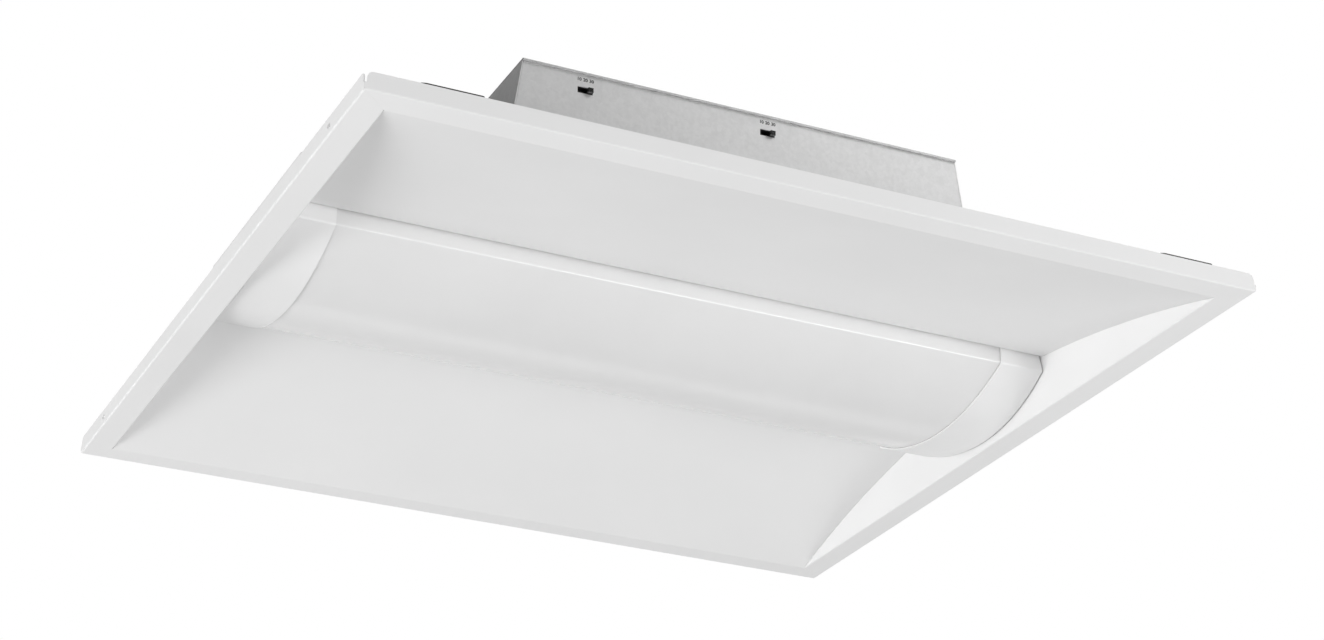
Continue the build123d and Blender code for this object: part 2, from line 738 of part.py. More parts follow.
with BuildPart() as knockout_slug:
    with BuildSketch(Plane.XZ.offset(-house_half_width)):
        with Locations((-knockout_offset, knockout_height)):
            Circle(knockout_radius - screw_gap)
    extrude(amount=house_sheet)

driver_ear_x = [driver_middle + end * (driver_length / 2 + driver_ear / 2) for end in (-1, 1)]
driver_screw_places = [(x, driver_y) for x in driver_ear_x]

with BuildPart() as housing_lid:
    with BuildSketch(Plane.YZ) as lid_section:
        with Locations((0, house_top + (lid_sheet - lid_lip) / 2)):
            Rectangle(2 * lid_half_width, lid_sheet + lid_lip)
        with Locations((0, house_top - lid_lip)):
            Rectangle(2 * (lid_half_width - lid_sheet), 2 * lid_lip, mode=Mode.SUBTRACT)
        fillet(corner(lid_section, *[(y, house_top + lid_sheet) for y in (-lid_half_width, lid_half_width)]),
               lid_sheet)
    extrude(amount=house_half_length, both=True)
    with BuildSketch(Plane.XY.offset(house_top - 1)):
        with Locations(*lid_screw_places):
            Circle(lid_screw_radius + screw_gap)
        with Locations(*driver_screw_places):
            Circle(driver_screw_radius + screw_gap)
    extrude(amount=lid_sheet + past, mode=Mode.SUBTRACT)

lid_screws = pan_screws(lid_screw_places, house_top + lid_sheet, lid_screw_radius, lid_screw_length)

# ---------------------------------------------------------------- driver
with BuildPart() as driver_base:
    with BuildSketch(Plane.XY.offset(driver_top)):
        with Locations((driver_middle, driver_y)):
            base_width = driver_width - 2 * driver_base_inset
            RectangleRounded(driver_length + 2 * driver_ear, base_width, driver_base_corner)
        with Locations(*driver_screw_places):
            Circle(driver_screw_radius + screw_gap, mode=Mode.SUBTRACT)
    extrude(amount=driver_base_sheet)

with BuildPart() as driver_case:
    with BuildSketch(Plane.YZ.offset(driver_middle - driver_length / 2)) as case_section:
        with Locations((driver_y, driver_top - driver_height / 2)):
            Rectangle(driver_width, driver_height)
        chamfer(case_section.vertices().group_by(Axis.Y)[0], driver_chamfer)
    extrude(amount=driver_length)
    offset(amount=-driver_sheet, openings=faces().sort_by(Axis.Z)[-1])

# circuit board with its tall components, which hang down from it
driver_board_under = driver_top - driver_board_drop - board_thickness
with BuildPart() as driver_board:
    with Locations((driver_middle, driver_y, driver_board_under)):
        Box(driver_length - 2 * (driver_sheet + fit_gap), driver_width - 2 * (driver_sheet + fit_gap),
            board_thickness, align=standing)

with BuildPart() as driver_transformer:
    with Locations((driver_middle, driver_y, driver_board_under)):
        Box(transformer_length, transformer_width, transformer_height,
            align=hanging)
    # the core's two side openings, which the winding fills
    winding = transformer_length * 0.6
    with Locations((driver_middle, driver_y, driver_board_under - transformer_height / 2)):
        Box(winding, transformer_width + past, transformer_height * 0.5, mode=Mode.SUBTRACT)
        Cylinder(winding * 0.45, transformer_width - 1, rotation=(90, 0, 0))
    with BuildSketch(Plane.XY.offset(driver_board_under)):
        with Locations((driver_middle, driver_y)):
            Rectangle(transformer_length + 2 * past, transformer_width + 2 * past)
    extrude(amount=transformer_height, mode=Mode.SUBTRACT)

with BuildPart() as driver_capacitors:
    with Locations(*[(driver_middle + shift, driver_y, driver_board_under) for shift in capacitor_shifts]):
        Cylinder(capacitor_radius, capacitor_height, align=hanging)
    chamfer(edges().filter_by(GeomType.CIRCLE).group_by(Axis.Z)[0], 0.8)

driver_screws = pan_screws(driver_screw_places, driver_top, driver_screw_radius, driver_screw_length, up=-1)


# ---------------------------------------------------------------- selector switches
def switch_body(x):
    """Black body behind a window, with the channel that the slider runs in."""
    channel = knob_length + 2 * switch_pitch + 2 * fit_gap
    with BuildPart() as body:
        with BuildSketch(Plane.XZ.offset(driver_face)):
            with Locations((x, window_level)):
                Rectangle(switch_length, switch_height)
        extrude(amount=switch_depth)
        with BuildSketch(Plane.XZ.offset(driver_face + switch_floor)):
            with Locations((x, window_level)):
                Rectangle(channel, knob_height + 2 * fit_gap)
        extrude(amount=switch_depth, mode=Mode.SUBTRACT)
    return body.part


def switch_slider(x):
    """Slider at its right-hand setting, with a ribbed thumb face."""
    foot = driver_face + switch_floor + fit_gap
    face = house_half_width + knob_reach
    with BuildPart() as slider:
        with BuildSketch(Plane.XZ.offset(foot)):
            with Locations((x + switch_pitch, window_level)):
                Rectangle(knob_length, knob_height)
        extrude(amount=face - foot)
        fillet(edges().group_by(Axis.Y)[0], knob_edge)
        with BuildSketch(Plane.XZ.offset(face)):
            with Locations((x + switch_pitch, window_level)):
                with GridLocations(knob_length / 4, 1, 3, 1):
                    Rectangle(knob_groove, knob_height + past)
        extrude(amount=-knob_groove_depth, mode=Mode.SUBTRACT)
    return slider.part


# ---------------------------------------------------------------- wiring
with BuildPart() as wire_bushing:
    rim = bushing_radius + bushing_rim
    with Locations((connector_x, -bushing_offset, tray_top)):
        Cylinder(rim, bushing_flange, align=standing)
    with Locations((connector_x, -bushing_offset, tray_under)):
        Cylinder(rim, bushing_flange, align=hanging)
        Cylinder(bushing_radius, tray_sheet, align=standing)
    chamfer(edges().filter_by(GeomType.CIRCLE).group_by(Axis.Z)[-1], bushing_flange / 2)
    chamfer(edges().filter_by(GeomType.CIRCLE).group_by(Axis.Z)[0], bushing_flange / 2)
    with Locations((connector_x, -bushing_offset, tray_top)):
        Cylinder(bushing_bore, 2 * (tray_sheet + 2 * bushing_flange + past), mode=Mode.SUBTRACT)

with BuildPart() as supply_connector:
    with Locations((supply_x, supply_y, tray_top)):
        Box(supply_width, supply_length, supply_height, align=standing)
    chamfer(edges().filter_by(Axis.Y).group_by(Axis.Z)[-1], supply_chamfer)
    # open ports at the rear for the building's two wires
    with BuildSketch(Plane.XZ.offset(-supply_y - supply_length / 2)):
        with Locations((supply_x, tray_top + supply_height / 2)):
            with GridLocations(lead_spacing, 1, 2, 1):
                Circle(port_radius)
    extrude(amount=supply_length / 2, mode=Mode.SUBTRACT)


def lead(points):
    """Insulated lead along straight runs joined by arcs as large as the runs allow."""
    runs = [Vector(*b) - Vector(*a) for a, b in zip(points, points[1:])]
    radii = [
        bend_share * min(r.length, s.length) / tan(radians(r.get_angle(s) / 2))
        for r, s in zip(runs, runs[1:])
    ]
    print("lead bends", [round(radius, 1) for radius in radii])
    with BuildPart() as wire:
        with BuildLine() as route:
            FilletPolyline(*points, radius=radii)
        path = route.wires()[0]
        with BuildSketch(Plane(origin=path @ 0, z_dir=path % 0)):
            Circle(lead_diameter / 2)
        sweep(path=path)
    return wire.part


def lead_pair(points, gaps):
    """Two leads on either side of a route, with the way from one to the other at each point."""
    return [
        lead([tuple(Vector(*point) + Vector(*gap) * share) for point, gap in zip(points, gaps)])
        for share in (-0.5, 0.5)
    ]


stacked = (0, 0, lead_diameter * 1.3)
# from the driver's right end to the supply connector
driver_end = driver_length / 2 + seam_gap
lead_exit = driver_top - driver_height * 0.65
port_face = supply_y - supply_length / 2 - seam_gap
port_level = tray_top + supply_height / 2
supply_leads = lead_pair(
    [
        (driver_middle + driver_end, driver_y, lead_exit),
        (driver_middle + driver_end + lead_exit_run, driver_y, lead_exit),
        (supply_x - lead_exit_run / 2, driver_y + lead_exit_run, (lead_exit + port_level) / 2),
        (supply_x, port_face - lead_entry_run, port_level),
        (supply_x, port_face, port_level),
    ],
    [stacked, stacked, (lead_spacing / 2, 0, lead_diameter * 1.2)] + [(lead_spacing, 0, 0)] * 2,
)
# from the driver's left end through the bushing to the first board
board_port = board_under - connector_height / 2
near_port = board_offset + connector_length / 2 + seam_gap
lamp_leads = lead_pair(
    [
        (driver_middle - driver_end, driver_y, lead_exit),
        (driver_middle - driver_end - driver_gap / 2, driver_y, lead_exit),
        (driver_middle - driver_end - driver_gap / 2 + lead_diameter, driver_y + lead_loop,
         (lead_exit + tray_top) / 2),
        (connector_x, -bushing_offset - lead_drop_over, tray_top + lead_clearance),
        (connector_x, -bushing_offset, tray_top + lead_clearance / 3),
        (connector_x, lead_clearance / 3 - bushing_offset, board_port),
        (connector_x, -near_port, board_port),
    ],
    [stacked, stacked, stacked, (-lead_diameter * 1.1, 0, lead_diameter * 1.1)]
    + [(-lead_diameter * 1.1, 0, 0)] * 3,
)
# from the first board to the second
jumper_end = board_offset - connector_length / 2 - seam_gap
jumper_leads = lead_pair(
    [
        (connector_x, -jumper_end, board_port),
        (connector_x, -jumper_end * 0.6, board_port),
        (connector_x, -jumper_end * 0.2, board_port - lead_diameter),
        (connector_x, jumper_end * 0.2, board_port - lead_diameter),
        (connector_x, jumper_end * 0.6, board_port),
        (connector_x, jumper_end, board_port),
    ],
    [(lead_diameter * 1.1, 0, 0)] * 6,
)
ground_screw = pan_screws([(ground_x, ground_y)], tray_top, ground_screw_radius, ground_screw_length)


# ---------------------------------------------------------------- grid clips
# Two clips along each of the long lips. The rear pair is the front pair turned half round.
pivot_to_end = grid_clip_width / 2
pivot_places = [
    (-(grid_clip_inner + grid_clip_length - pivot_to_end), -grid_clip_y, 0),
    (grid_clip_inner + pivot_to_end, -grid_clip_y, 0),
    (grid_clip_inner + grid_clip_length - pivot_to_end, grid_clip_y, 180),
    (-(grid_clip_inner + pivot_to_end), grid_clip_y, 180),
]
clip_names = ["front_left", "front_right", "rear_right", "rear_left"]


def grid_clip(x, y, turn):
    """Flat steel bar that lies along the lip and turns about its round end."""
    with BuildPart() as clip:
        with BuildSketch(Plane.XY.offset(grid_clip_under)) as outline:
            with Locations(Location((x, y, 0), (0, 0, turn))):
                Circle(grid_clip_width / 2)
                with Locations(((grid_clip_length - pivot_to_end) / 2, 0)):
                    Rectangle(grid_clip_length - pivot_to_end, grid_clip_width)
                Circle(grid_rivet_radius + pivot_gap, mode=Mode.SUBTRACT)
            fillet(outline.vertices().sort_by_distance((x, y))[-2:], 2)
        extrude(amount=grid_clip_sheet)
    return clip.part


grid_clips = {name: grid_clip(*place) for name, place in zip(clip_names, pivot_places)}

with BuildPart() as clip_brackets:
    leg_face = half_width - panel_sheet - fit_gap
    leg_foot = panel_sheet + fit_gap
    for x, y, turn in pivot_places:
        side = -1 if y < 0 else 1
        depth = leg_face - abs(y) + grid_rivet_head + 1.5
        with Locations((x, side * (leg_face - depth / 2), bracket_top)):
            Box(bracket_width, depth, bracket_sheet, align=hanging)
        with Locations((x, side * (leg_face - bracket_sheet / 2), leg_foot)):
            Box(bracket_width, bracket_sheet, bracket_top - leg_foot,
                align=standing)
        with Locations((x, y, bracket_top)):
            Hole(grid_rivet_radius + screw_gap, depth=bracket_sheet + 1)

with BuildPart() as clip_rivets:
    head_seat = grid_clip_under + grid_clip_sheet + pivot_gap
    tail_seat = bracket_top - bracket_sheet - pivot_gap
    for x, y, turn in pivot_places:
        with Locations((x, y, tail_seat)):
            Cylinder(grid_rivet_radius, head_seat - tail_seat, align=standing)
            Cylinder(grid_rivet_head * 0.85, rivet_head_height, align=hanging)
        with Locations((x, y, head_seat)):
            Cylinder(grid_rivet_head, rivet_head_height, align=standing)
    chamfer(edges().filter_by(GeomType.CIRCLE).group_by(Axis.Z)[-1], rivet_head_height / 2)

# ---------------------------------------------------------------- written pieces
pieces = {
    "side_panel_front": side_panel_front.part,
    "side_panel_rear": side_panel_rear.part,
    "end_panel_left": end_panel_left.part,
    "end_panel_right": end_panel_right.part,
    "light_tray": light_tray.part,
    "led_board_front": led_board_front,
    "led_board_rear": led_board_rear,
    "led_row_front": led_row_front,
    "led_row_rear": led_row_rear,
    "board_screws": board_screws,
    "board_connectors": board_connectors.part,
    "diffuser_lens": diffuser_lens.part,
    "end_cap_left": end_cap_left.part,
    "end_cap_right": end_cap_right.part,
    "basket_clips_front": basket_clips_front,
    "basket_clips_rear": basket_clips_rear,
    "basket_clip_rivets": basket_clip_rivets.part,
    "housing_front": housing_front.part,
    "housing_rear": housing_rear.part,
    "housing_end_left": housing_end_left.part,
    "housing_end_right": housing_end_right.part,
    "housing_screws": housing_screws,
    "knockout_slug": knockout_slug.part,
    "housing_lid": housing_lid.part,
    "lid_screws": lid_screws,
    "driver_base": driver_base.part,
    "driver_case": driver_case.part,
    "driver_board": driver_board.part,
    "driver_transformer": driver_transformer.part,
    "driver_capacitors": driver_capacitors.part,
    "driver_screws": driver_screws,
    "wire_bushing": wire_bushing.part,
    "supply_connector": supply_connector.part,
    "supply_lead_neutral": supply_leads[0],
    "supply_lead_line": supply_leads[1],
    "lamp_lead_negative": lamp_leads[0],
    "lamp_lead_positive": lamp_leads[1],
    "jumper_lead_positive": jumper_leads[0],
    "jumper_lead_negative": jumper_leads[1],
    "ground_screw": ground_screw,
    "clip_brackets": clip_brackets.part,
    "clip_rivets": clip_rivets.part,
}
for name, x in window_offsets.items():
    pieces[f"{name}_switch_body"] = switch_body(x)
    pieces[f"{name}_switch_slider"] = switch_slider(x)
for name, clip in grid_clips.items():
    pieces[f"grid_clip_{name}"] = clip

for name, piece in pieces.items():
    piece.label = name
    export_step(piece, f"parts/{name}.step")
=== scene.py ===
# %% [markdown]
# # A recessed troffer light, seen from below
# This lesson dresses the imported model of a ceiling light: four white folded panels, a frosted
# lens basket between two bowed reflectors, and a galvanised housing for the driver on its back.

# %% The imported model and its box
import bmesh
import bpy
import math
from mathutils import Matrix, Vector


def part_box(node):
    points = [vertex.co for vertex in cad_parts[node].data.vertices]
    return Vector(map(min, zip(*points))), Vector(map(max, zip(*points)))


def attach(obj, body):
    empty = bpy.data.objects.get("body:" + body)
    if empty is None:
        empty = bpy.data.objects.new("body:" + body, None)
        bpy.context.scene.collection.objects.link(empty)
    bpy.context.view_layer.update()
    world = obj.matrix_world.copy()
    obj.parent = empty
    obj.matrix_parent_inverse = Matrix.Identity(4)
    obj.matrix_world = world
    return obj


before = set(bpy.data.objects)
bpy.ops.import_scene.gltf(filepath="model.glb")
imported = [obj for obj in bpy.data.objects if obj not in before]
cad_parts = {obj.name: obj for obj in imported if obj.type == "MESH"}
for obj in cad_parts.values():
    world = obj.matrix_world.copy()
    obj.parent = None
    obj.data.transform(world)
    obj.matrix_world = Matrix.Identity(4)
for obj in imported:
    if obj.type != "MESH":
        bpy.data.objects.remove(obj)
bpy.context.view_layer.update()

# %% [markdown]
# ## The camera
# The photo looks up at the light from the front left, a long way below the ceiling. A camera
# fitted to the 603 mm square gives its place, its direction and an 80 mm lens. A camera looks
# along its own -Z, so three directions at right angles make up its turn.

# %% Camera at the photo's viewpoint
camera_place = Vector((-0.75956, -1.68363, -0.80754))
lens_millimetres, sensor_millimetres = 80.28, 36.0
farthest_seen = 100.0
camera_right = Vector((0.9050, -0.4253, 0.0082)).normalized()
camera_up = Vector((-0.1848, -0.3757, 0.9081)).normalized()
camera_back = camera_right.cross(camera_up).normalized()
camera_data = bpy.data.cameras.new("photo_camera")
camera_data.lens = lens_millimetres
camera_data.sensor_width = sensor_millimetres
camera_data.clip_end = farthest_seen
camera = bpy.data.objects.new("photo_camera", camera_data)
turn = Matrix((camera_right, camera_back.cross(camera_right), camera_back)).transposed()
camera.matrix_world = Matrix.Translation(camera_place) @ turn.to_4x4()
bpy.context.scene.collection.objects.link(camera)
bpy.context.scene.camera = camera
bpy.context.scene.view_settings.view_transform = "Standard"
print("camera distance from the middle of the border:", round(camera_place.length, 3), "m")

# %% [markdown]
# ## The studio
# The photo's background is plain white and the object hangs free in it. The surroundings are
# white to the camera but faint as a light, so that the bowl keeps its shadows. A pale floor
# lies far below, where a room's floor would be.

# %% Surroundings
sky_white = (1.0, 1.0, 1.0, 1.0)
seen_strength, light_strength = 1.0, 0.05
world = bpy.data.worlds.new("studio")
bpy.context.scene.world = world
world.use_nodes = True
sky = world.node_tree
sky.nodes.clear()
sky_seen = sky.nodes.new("ShaderNodeBackground")
sky_seen.inputs["Color"].default_value = sky_white
sky_seen.inputs["Strength"].default_value = seen_strength
sky_light = sky.nodes.new("ShaderNodeBackground")
sky_light.inputs["Color"].default_value = sky_white
sky_light.inputs["Strength"].default_value = light_strength
ray_kind = sky.nodes.new("ShaderNodeLightPath")
either = sky.nodes.new("ShaderNodeMixShader")
sky_out = sky.nodes.new("ShaderNodeOutputWorld")
sky.links.new(ray_kind.outputs["Is Camera Ray"], either.inputs[0])
sky.links.new(sky_light.outputs[0], either.inputs[1])
sky.links.new(sky_seen.outputs[0], either.inputs[2])
sky.links.new(either.outputs[0], sky_out.inputs["Surface"])
print("surroundings:", seen_strength, "to the camera,", light_strength, "as a light")

# %% [markdown]
# ### The floor
# The floor is one square of four corners. Every material below starts as the floor's does: with
# nodes switched on, Blender makes a Principled shader, and the finish is plugged into that.


# %% The floor
def new_material(name):
    """A node material; gives it, its tree and its main shader."""
    material = bpy.data.materials.new(name)
    material.use_nodes = True
    tree = material.node_tree
    return material, tree, tree.nodes["Principled BSDF"]


floor_half, floor_depth = 12.0, -4.2
floor_roughness = 0.9
floor_patches_per_metre = 3.0
floor_tones = (0.88, 0.93)
floor_material, floor_tree, floor_shader = new_material("pale_floor")
floor_shader.inputs["Roughness"].default_value = floor_roughness
floor_noise = floor_tree.nodes.new("ShaderNodeTexNoise")
floor_noise.inputs["Scale"].default_value = floor_patches_per_metre
floor_ramp = floor_tree.nodes.new("ShaderNodeValToRGB")
for end, tone in zip(floor_ramp.color_ramp.elements, floor_tones):
    end.color = (tone, tone, tone, 1)
floor_tree.links.new(floor_noise.outputs["Fac"], floor_ramp.inputs["Fac"])
floor_tree.links.new(floor_ramp.outputs["Color"], floor_shader.inputs["Base Color"])

floor_mesh = bpy.data.meshes.new("studio_floor")
floor_corners = [
    (x * floor_half, y * floor_half, floor_depth)
    for x, y in ((-1, -1), (1, -1), (1, 1), (-1, 1))
]
floor_mesh.from_pydata(floor_corners, [], [(0, 1, 2, 3)])
floor_mesh.materials.append(floor_material)
floor = bpy.data.objects.new("studio_floor", floor_mesh)
bpy.context.scene.collection.objects.link(floor)
print("floor", -floor_depth, "m below the border,", 2 * floor_half, "m wide")

# %% [markdown]
# ## The lights
# The left border throws a soft shadow on the cap and the reflectors, so three of the lamps stand
# on the left, a little below the light. A broad one low at the front right shines on the
# basket's upright side, and one high at the front right lights the housing. All keep the same
# distance, so only their direction, width and power differ. Their powers come from a fit: each
# lamp was rendered alone, and the mix that came nearest to the photo was kept.

# %% Soft lights all round
lamp_distance = 3.0
lamps = {
    # name: (heading, height above the horizon, width in metres, watts)
    "left_level": (180, -10, 1.4, 20.9),
    "left_front_low": (210, -22, 0.7, 22.7),
    "left_far_low": (150, -20, 1.4, 26.9),
    "front_low": (300, -20, 1.4, 45.5),
    "front_above": (315, 35, 1.4, 20.3),
}


def area_light(name, place, facing, width, length, power):
    """A rectangle of light at a place; its length lies along its own X."""
    data = bpy.data.lights.new(name, "AREA")
    data.shape = "RECTANGLE"
    data.size = length
    data.size_y = width
    data.energy = power
    light = bpy.data.objects.new(name, data)
    light.location = place
    light.rotation_euler = facing
    bpy.context.scene.collection.objects.link(light)


for name, (heading, height, width, power) in lamps.items():
    level = math.cos(math.radians(height))
    direction = Vector((
        level * math.cos(math.radians(heading)),
        level * math.sin(math.radians(heading)),
        math.sin(math.radians(height)),
    ))
    facing = (-direction).to_track_quat("-Z", "Y").to_euler()
    area_light(name, direction * lamp_distance, facing, width, width, power)
    print(name, "at", [round(c, 2) for c in direction * lamp_distance], "with", power, "W")

# %% [markdown]
# ### The long panel and the light from above
# The lens mirrors whatever stands beyond the light, all along its length. A long panel stands
# there, so that the far half of the lens stays as bright as the near half. A very soft light
# straight from above brightens the floor and the back of the light. The floor throws some of
# it up into the bowl.

# %% Long panel beyond the lens
panel_low, panel_high = math.radians(-28), math.radians(20)
panel_distance = 2.6
panel_length = 5.0
panel_shift = 0.6
panel_power = 22.2
panel_middle = (panel_low + panel_high) / 2
panel_width = 2 * panel_distance * math.tan((panel_high - panel_low) / 2)
panel_place = Vector((
    panel_shift,
    panel_distance * math.cos(panel_middle),
    panel_distance * math.sin(panel_middle),
))
panel_facing = (math.radians(90) - panel_middle, 0, math.radians(180))
area_light("long_panel", panel_place, panel_facing, panel_width, panel_length, panel_power)
print("long panel", round(panel_width, 2), "m high at", [round(c, 2) for c in panel_place])

# %% Soft light from above
above_strength = 1.45
above_spread = math.radians(90)
above_data = bpy.data.lights.new("from_above", "SUN")
above_data.energy = above_strength
above_data.angle = above_spread
above = bpy.data.objects.new("from_above", above_data)
bpy.context.scene.collection.objects.link(above)


# %% [markdown]
# ## Finishes
# Every finish is made of nodes in the object's own coordinates, in metres, so its grain has a
# real size: between one and two millimetres for the orange peel of powder coat, and about four
# for the crystals of galvanised sheet. Noise takes its scale in patches per metre for that.

# %% Helpers for the finishes
def own_place(tree, stretch=(1, 1, 1)):
    """The place on the object, stretched along its axes."""
    place = tree.nodes.new("ShaderNodeTexCoord")
    mapping = tree.nodes.new("ShaderNodeMapping")
    mapping.inputs["Scale"].default_value = stretch
    tree.links.new(place.outputs["Object"], mapping.inputs["Vector"])
    return mapping.outputs["Vector"]


def noise(tree, vector, per_metre, detail=2.0):
    """Noise between 0 and 1."""
    node = tree.nodes.new("ShaderNodeTexNoise")
    node.inputs["Scale"].default_value = per_metre
    node.inputs["Detail"].default_value = detail
    tree.links.new(vector, node.inputs["Vector"])
    return node.outputs["Fac"]


def grey(tone):
    """A neutral colour."""
    return (tone, tone, tone)


def between(tree, factor, low, high, low_at=0.3, high_at=0.7):
    """A colour between two, as a factor goes from low_at to high_at."""
    ramp = tree.nodes.new("ShaderNodeValToRGB")
    ramp.color_ramp.elements[0].position = low_at
    ramp.color_ramp.elements[0].color = (*low, 1)
    ramp.color_ramp.elements[1].position = high_at
    ramp.color_ramp.elements[1].color = (*high, 1)
    tree.links.new(factor, ramp.inputs["Fac"])
    return ramp.outputs["Color"]


def number(tree, factor, low, high, low_at=0.3, high_at=0.7):
    """A number between two, as a factor goes from low_at to high_at."""
    node = tree.nodes.new("ShaderNodeMapRange")
    node.inputs["From Min"].default_value = low_at
    node.inputs["From Max"].default_value = high_at
    node.inputs["To Min"].default_value = low
    node.inputs["To Max"].default_value = high
    tree.links.new(factor, node.inputs["Value"])
    return node.outputs["Result"]


def bumps(tree, shader, height, depth, strength):
    """Raises the surface by a height between 0 and 1 times a depth in metres."""
    node = tree.nodes.new("ShaderNodeBump")
    node.inputs["Strength"].default_value = strength
    node.inputs["Distance"].default_value = depth
    tree.links.new(height, node.inputs["Height"])
    tree.links.new(node.outputs["Normal"], shader.inputs["Normal"])


def finish(material, *nodes):
    """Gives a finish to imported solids."""
    for name in nodes:
        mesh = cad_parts[name].data
        mesh.materials.clear()
        mesh.materials.append(material)
    print(material.name, "on", len(nodes))


# %% [markdown]
# ### White powder coat
# The panels and the tray are steel sheet with a baked satin coat. It is a neutral white with the
# faint orange peel of sprayed powder, and a little uneven in gloss.

# %% White powder coat
powder_coat, tree, shader = new_material("powder_coat")
where = own_place(tree)
shader.inputs["IOR"].default_value = 1.5
coat_tone = between(tree, noise(tree, where, per_metre=9.0), grey(0.79), grey(0.81))
tree.links.new(coat_tone, shader.inputs["Base Color"])
coat_gloss = number(tree, noise(tree, where, per_metre=40.0), low=0.55, high=0.63)
tree.links.new(coat_gloss, shader.inputs["Roughness"])
shader.inputs["Specular IOR Level"].default_value = 0.35
bumps(tree, shader, noise(tree, where, per_metre=700.0), depth=0.00004, strength=0.35)
finish(powder_coat, "side_panel_front", "side_panel_rear", "end_panel_left", "end_panel_right",
       "light_tray")

# %% [markdown]
# ### Galvanised sheet
# The housing and its lid are dipped in zinc, which freezes in crystals. Each crystal reflects
# a little differently, which gives the mottled grey of the photo. Voronoi cells are such
# crystals. The lid's sheet is painted darker than the housing's as painted shade: its turned-down
# edge stands for the shaded line along the top, and the painted shade also dims the highlight on
# its top.

# %% Galvanised sheet
crystals_per_metre = 260.0
crystal_share = 0.30


def galvanised_sheet(name, low, high):
    """Zinc crystals between two tones of grey, with a finer noise over them."""
    material, tree, shader = new_material(name)
    where = own_place(tree)
    shader.inputs["Metallic"].default_value = 0.9
    crystals = tree.nodes.new("ShaderNodeTexVoronoi")
    crystals.inputs["Scale"].default_value = crystals_per_metre
    tree.links.new(where, crystals.inputs["Vector"])
    crystal_tone = tree.nodes.new("ShaderNodeSeparateColor")
    tree.links.new(crystals.outputs["Color"], crystal_tone.inputs["Color"])
    tone = tree.nodes.new("ShaderNodeMath")
    tone.operation = "MULTIPLY_ADD"
    tone.inputs[1].default_value = crystal_share
    tree.links.new(crystal_tone.outputs["Red"], tone.inputs[0])
    tree.links.new(noise(tree, where, per_metre=420.0, detail=4.0), tone.inputs[2])
    zinc_tone = between(tree, tone.outputs["Value"], grey(low), grey(high),
                        low_at=0.40, high_at=0.90)
    tree.links.new(zinc_tone, shader.inputs["Base Color"])
    zinc_gloss = number(tree, noise(tree, where, per_metre=300.0), low=0.46, high=0.54)
    tree.links.new(zinc_gloss, shader.inputs["Roughness"])
    bumps(tree, shader, noise(tree, where, per_metre=500.0), depth=0.00003, strength=0.25)
    return material


galvanised = galvanised_sheet("galvanised_sheet", low=0.63, high=0.68)
# The lid's darker tones are painted shade for the shaded edge along its top.
galvanised_lid_painted_shade = galvanised_sheet("lid_sheet_painted_shade", low=0.49, high=0.55)
finish(galvanised, "housing_front", "housing_rear", "housing_end_left", "housing_end_right",
       "knockout_slug", "driver_base", "clip_brackets")
finish(galvanised_lid_painted_shade, "housing_lid")

# %% [markdown]
# ### Frosted lens
# The lens is an extruded sheet of frosted acrylic: a body that scatters light, under a satin
# skin. Half of the body's light travels a few millimetres inside it before it comes out, which
# evens out the shading. A smoother coat over a rough body gives the satin, because one roughness
# can't be both. The sheet is drawn lengthwise, so its bumps are stretched that way.

# %% Frosted lens
frosted, tree, shader = new_material("frosted_acrylic")
where = own_place(tree)
shader.inputs["IOR"].default_value = 1.49
shader.inputs["Subsurface Weight"].default_value = 0.5
shader.inputs["Subsurface Radius"].default_value = grey(1.0)
shader.inputs["Subsurface Scale"].default_value = 0.004
shader.inputs["Specular IOR Level"].default_value = 0.3
shader.inputs["Coat Weight"].default_value = 1.0
shader.inputs["Coat IOR"].default_value = 1.5
shader.inputs["Coat Roughness"].default_value = 0.2
lens_tone = between(tree, noise(tree, where, per_metre=14.0), grey(0.745), grey(0.765))
tree.links.new(lens_tone, shader.inputs["Base Color"])
lens_gloss = number(tree, noise(tree, where, per_metre=120.0), low=0.76, high=0.84)
tree.links.new(lens_gloss, shader.inputs["Roughness"])
drawn = own_place(tree, stretch=(0.2, 1, 1))
bumps(tree, shader, noise(tree, drawn, per_metre=900.0), depth=0.00001, strength=0.15)
finish(frosted, "diffuser_lens")

# %% [markdown]
# ### White mouldings
# The end caps and the connectors are moulded plastic, a touch glossier than the coat, with the
# fine even texture of an etched mould.

# %% White mouldings
white_moulding, tree, shader = new_material("white_moulding")
where = own_place(tree)
shader.inputs["IOR"].default_value = 1.5
moulding_tone = between(tree, noise(tree, where, per_metre=20.0), grey(0.80), grey(0.83))
tree.links.new(moulding_tone, shader.inputs["Base Color"])
moulding_gloss = number(tree, noise(tree, where, per_metre=200.0), low=0.33, high=0.42)
tree.links.new(moulding_gloss, shader.inputs["Roughness"])
bumps(tree, shader, noise(tree, where, per_metre=1500.0), depth=0.00002, strength=0.3)
finish(white_moulding, "end_cap_left", "end_cap_right", "board_connectors", "supply_connector")

# %% [markdown]
# ### Small parts
# Black switches, grid clips of dark steel painted darker still as shade, bright screws, and the
# parts inside that show when the basket hangs down. One function makes these, because they differ
# only in tone and gloss. A table of finishes is easier to read and to change than one call for
# each.


# %% One function for the small finishes
grain_per_metre = 400.0
grain_depth = 0.00002
gloss_spread = 0.05


def small_finish(name, low, high, roughness, metallic=0.0):
    """A finish with fine variation in tone and gloss."""
    material, tree, shader = new_material(name)
    where = own_place(tree)
    shader.inputs["Metallic"].default_value = metallic
    tone = between(tree, noise(tree, where, grain_per_metre / 4), low, high)
    tree.links.new(tone, shader.inputs["Base Color"])
    gloss = number(tree, noise(tree, where, grain_per_metre),
                   roughness - gloss_spread, roughness + gloss_spread)
    tree.links.new(gloss, shader.inputs["Roughness"])
    bumps(tree, shader, noise(tree, where, grain_per_metre * 2), grain_depth, strength=0.4)
    return material


